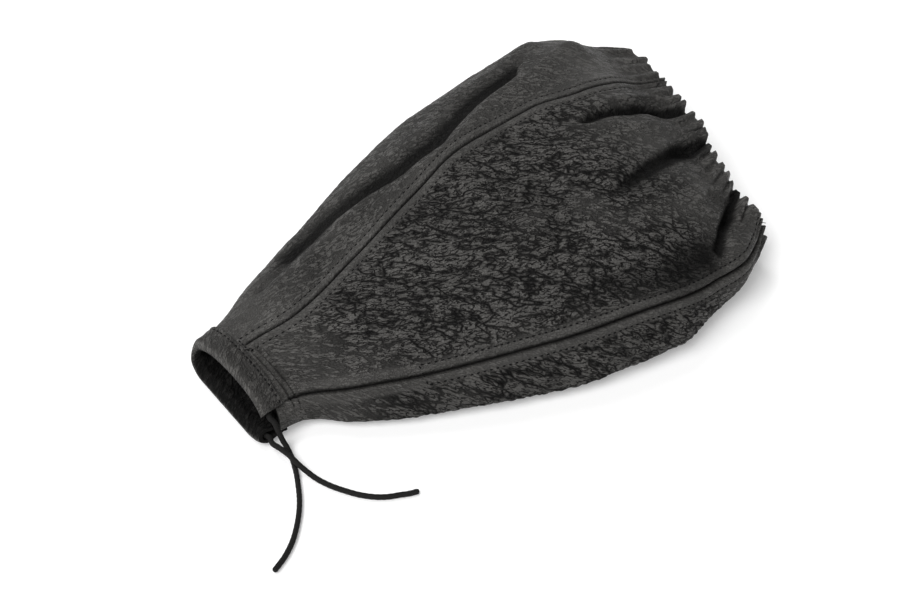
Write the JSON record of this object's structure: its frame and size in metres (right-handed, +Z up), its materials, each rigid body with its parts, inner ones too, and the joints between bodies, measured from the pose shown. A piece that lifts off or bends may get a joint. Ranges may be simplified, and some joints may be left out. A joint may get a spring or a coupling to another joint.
{
  "type": "gear lever gaiter",
  "caption": "Soft leather gear lever gaiter lying on its side: tapered panels sewn into a bag, a narrow neck with a drawstring band and a wide hem gathered by elastic.",
  "frame": {"origin": "middle of the bag's footprint, on the surface it lies on, without the drawstring's free ends", "axes": "+X from the narrow neck to the wide hem, +Z up through the crown of the bag, +Y towards the side with the wider bulge"},
  "size_m": [0.2788, 0.1965, 0.0465],
  "materials": {
    "leather": "soft grained, semi-matt",
    "band_leather": "soft, smoother and more matt",
    "drawstring": "tight round braid, matt",
    "elastic": "flat woven elastic, matt"
  },
  "bodies": {
    "root": {"panel_top": "leather", "panel_right": "leather", "panel_bottom": "leather", "panel_left": "leather", "neck_band": "band_leather", "hem_elastic": "elastic", "drawstring_loop": "drawstring", "drawstring_tail_upper": "drawstring", "drawstring_tail_lower": "drawstring"}
  },
  "joints": []
}
